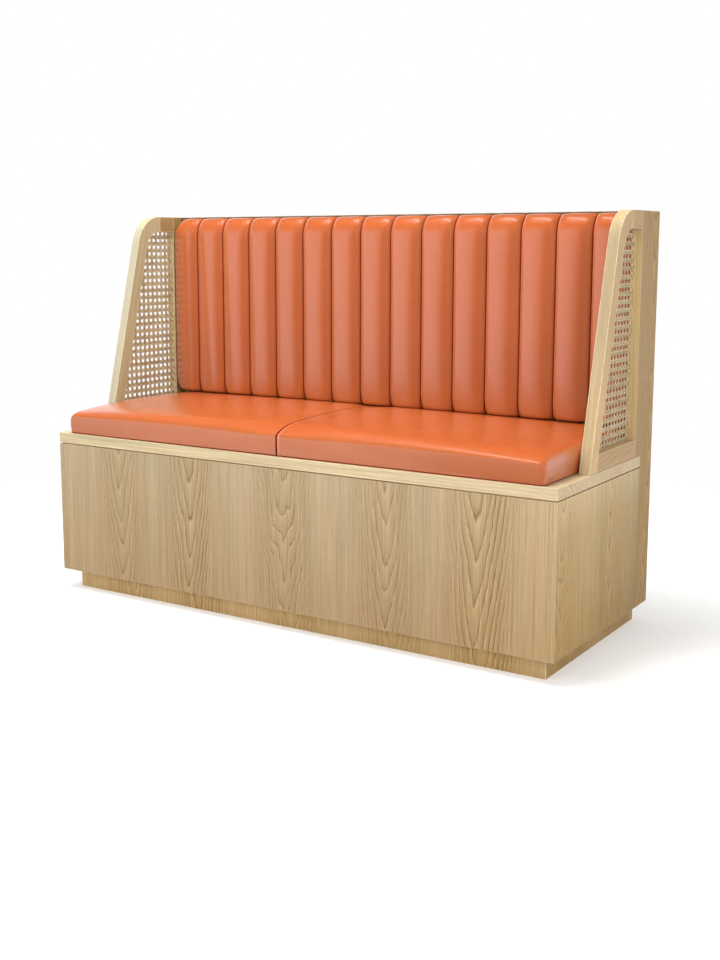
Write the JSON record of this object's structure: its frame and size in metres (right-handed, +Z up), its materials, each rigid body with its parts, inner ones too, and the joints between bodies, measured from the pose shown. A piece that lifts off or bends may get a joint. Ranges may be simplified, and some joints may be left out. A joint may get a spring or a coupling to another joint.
{
  "type": "restaurant booth bench",
  "caption": "Wooden booth bench on a recessed plinth, with cane-panelled wings, a channelled leather back cushion and loose leather seat cushions.",
  "frame": {"origin": "on the floor, under the middle of the bench's outline", "axes": "+Z up, +X along the bench to the right of someone facing it, -Y out of the seat towards the table"},
  "size_m": [1.44, 0.565, 1.005],
  "materials": {
    "oak_veneer": "satin light oak veneer",
    "plinth_veneer": "satin light oak veneer",
    "oak_frame": "satin light oak",
    "carcass_wood": "raw sawn softwood and plywood",
    "plywood": "raw birch plywood",
    "dowel": "raw fluted beech",
    "cane": "natural woven cane",
    "dark_spacer": "matte dark stained strip",
    "leather": "smooth satin leather over foam",
    "screw_steel": "zinc plated"
  },
  "bodies": {
    "bench": {"plinth_front": "plinth_veneer", "plinth_rear": "plinth_veneer", "plinth_end_left": "plinth_veneer", "plinth_end_right": "plinth_veneer", "plinth_cross_left": "carcass_wood", "plinth_cross_right": "carcass_wood", "base_bottom": "carcass_wood", "base_post_left": "carcass_wood", "base_post_right": "carcass_wood", "base_top_rail": "carcass_wood", "base_ledger": "carcass_wood", "base_divider_left": "carcass_wood", "base_divider_right": "carcass_wood", "back_stile_left": "carcass_wood", "back_stile_right": "carcass_wood", "back_rail_bottom": "carcass_wood", "back_rail_seat": "carcass_wood", "back_rail_cushion": "carcass_wood", "back_rail_top": "carcass_wood", "back_stud_left": "carcass_wood", "back_stud_right": "carcass_wood", "base_front": "oak_veneer", "base_end_left": "oak_veneer", "base_end_right": "oak_veneer", "seat_deck": "oak_veneer", "back_end_left": "oak_veneer", "back_end_right": "oak_veneer", "back_cap": "oak_veneer", "back_skin_front": "oak_veneer", "back_skin_rear": "oak_veneer", "spacer_front": "dark_spacer", "spacer_left": "dark_spacer", "spacer_right": "dark_spacer", "wing_left_front_stile": "oak_frame", "wing_left_top_rail": "oak_frame", "wing_left_bottom_rail": "oak_frame", "wing_left_rear_stile": "oak_frame", "wing_right_front_stile": "oak_frame", "wing_right_top_rail": "oak_frame", "wing_right_bottom_rail": "oak_frame", "wing_right_rear_stile": "oak_frame", "wing_left_cane": "cane", "wing_right_cane": "cane", "wing_left_dowels": "dowel", "wing_right_dowels": "dowel", "back_pad": "leather", "back_board": "plywood", "deck_screws": "screw_steel", "base_screws": "screw_steel", "ledger_screws": "screw_steel", "cushion_screws": "screw_steel"},
    "seat_cushion_left": {"seat_left_pad": "leather", "seat_left_board": "plywood"},
    "seat_cushion_right": {"seat_right_pad": "leather", "seat_right_board": "plywood"}
  },
  "joints": [
    {"name": "seat_cushion_left_slide", "type": "slide", "parent": "bench", "child": "seat_cushion_left", "axis": [0, -1, 0], "range_m": [0, 0.22]},
    {"name": "seat_cushion_right_slide", "type": "slide", "parent": "bench", "child": "seat_cushion_right", "axis": [0, -1, 0], "range_m": [0, 0.22]}
  ]
}
